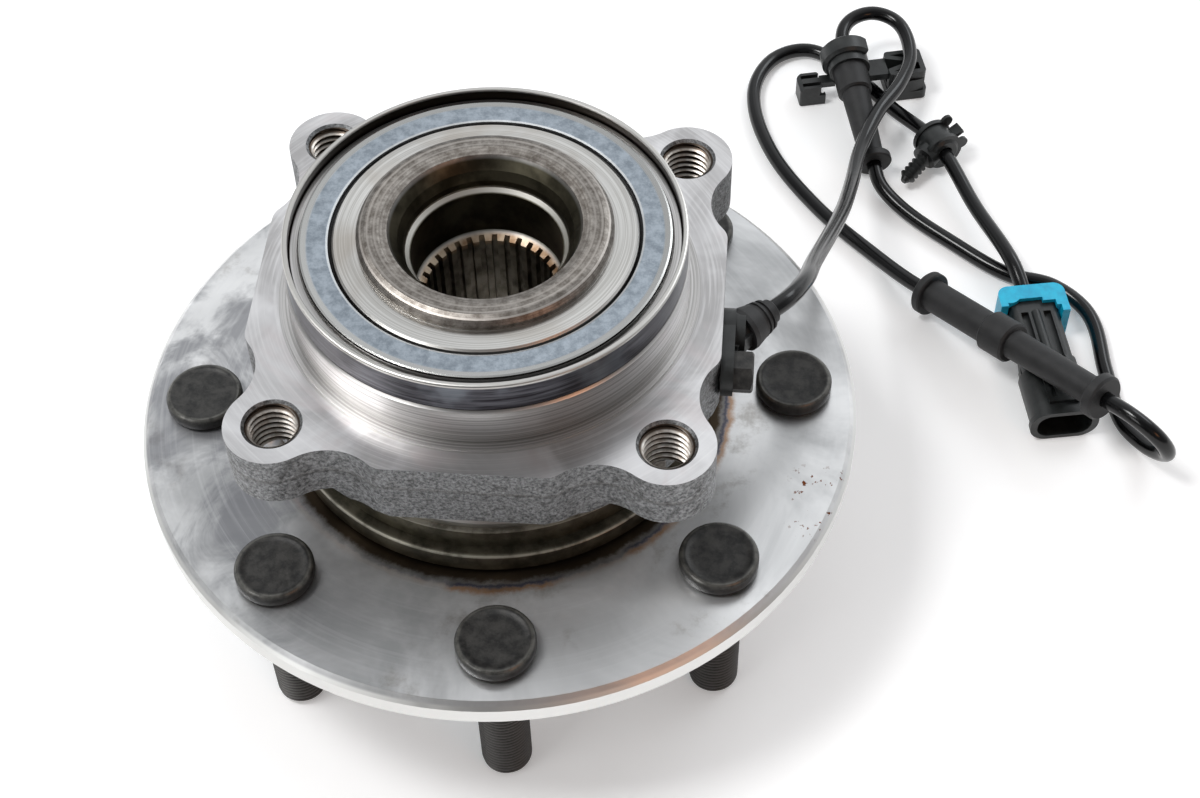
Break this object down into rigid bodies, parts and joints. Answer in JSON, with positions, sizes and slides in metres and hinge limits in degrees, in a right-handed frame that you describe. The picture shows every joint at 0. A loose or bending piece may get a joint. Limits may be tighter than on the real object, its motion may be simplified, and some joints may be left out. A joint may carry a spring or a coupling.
{
  "type": "wheel hub bearing",
  "caption": "Driven-axle wheel hub bearing: a flanged housing on tapered rollers, a studded wheel hub with a splined bore, and a wheel-speed sensor on a clipped lead.",
  "frame": {"origin": "centre of the wheel stud circle, in the plane where the wheel bears on the flange", "axes": "+Z along the bearing axis, inboard towards the vehicle; +X towards the speed sensor, square to the housing's flat"},
  "size_m": [0.2984, 0.3143, 0.1275],
  "materials": {
    "machined_steel": "machined",
    "ground_steel": "ground",
    "forged_steel": "forged, machined where it seats",
    "oxide_steel": "heat-darkened",
    "sintered_steel": "sintered",
    "stainless_sheet": "drawn",
    "cage_sheet": "pressed",
    "zinc_sheet": "zinc-plated",
    "shield_sheet": "dark olive coating",
    "stud_coating": "black phosphate",
    "seal_rubber": "matt",
    "black_rubber": "matt",
    "lead_jacket": "smooth jacket",
    "black_plastic": "moulded",
    "terminal_brass": "plated",
    "seal_green": "matt",
    "cyan_plastic": "moulded"
  },
  "bodies": {
    "housing": {"outer_ring": "forged_steel", "barrel_sleeve": "oxide_steel", "inboard_seal_case": "zinc_sheet", "inboard_seal_lip": "seal_rubber", "outboard_shield": "shield_sheet", "outboard_seal_case": "zinc_sheet", "outboard_seal_lip": "seal_rubber", "sensor_body": "black_plastic", "sensor_tip": "stainless_sheet", "sensor_o_ring": "seal_rubber", "sensor_screw": "stud_coating", "sensor_boot": "black_rubber", "lead_cable": "lead_jacket", "grommet_a": "black_rubber", "bracket_clip": "black_plastic", "fir_tree_clip": "black_plastic", "grommet_b": "black_rubber", "connector_body": "black_plastic", "connector_terminals": "terminal_brass", "connector_seal": "seal_green"},
    "hub": {"wheel_hub": "machined_steel", "wheel_studs": "stud_coating", "inboard_inner_ring": "ground_steel", "outboard_inner_ring": "ground_steel", "tone_ring": "sintered_steel", "outboard_slinger": "stainless_sheet"},
    "inboard_row": {"inboard_rollers": "ground_steel", "inboard_cage": "cage_sheet"},
    "outboard_row": {"outboard_rollers": "ground_steel", "outboard_cage": "cage_sheet"},
    "lock": {"connector_lock": "cyan_plastic"}
  },
  "joints": [
    {"name": "wheel_spin", "type": "hinge", "parent": "housing", "child": "hub", "pos_m": [0, 0, 0], "axis": [0, 0, 1], "continuous": true},
    {"name": "inboard_row_spin", "type": "hinge", "parent": "housing", "child": "inboard_row", "pos_m": [0, 0, 0.0515], "axis": [0, 0, 1], "continuous": true},
    {"name": "outboard_row_spin", "type": "hinge", "parent": "housing", "child": "outboard_row", "pos_m": [0, 0, 0.0515], "axis": [0, 0, 1], "continuous": true},
    {"name": "lock_slide", "type": "slide", "parent": "housing", "child": "lock", "axis": [-0.1799, 0.9837, 0], "range_m": [0, 0.003]}
  ],
  "couplings": [
    {"joint": "inboard_row_spin", "follows": "wheel_spin", "ratio": 0.447},
    {"joint": "outboard_row_spin", "follows": "wheel_spin", "ratio": 0.447}
  ]
}
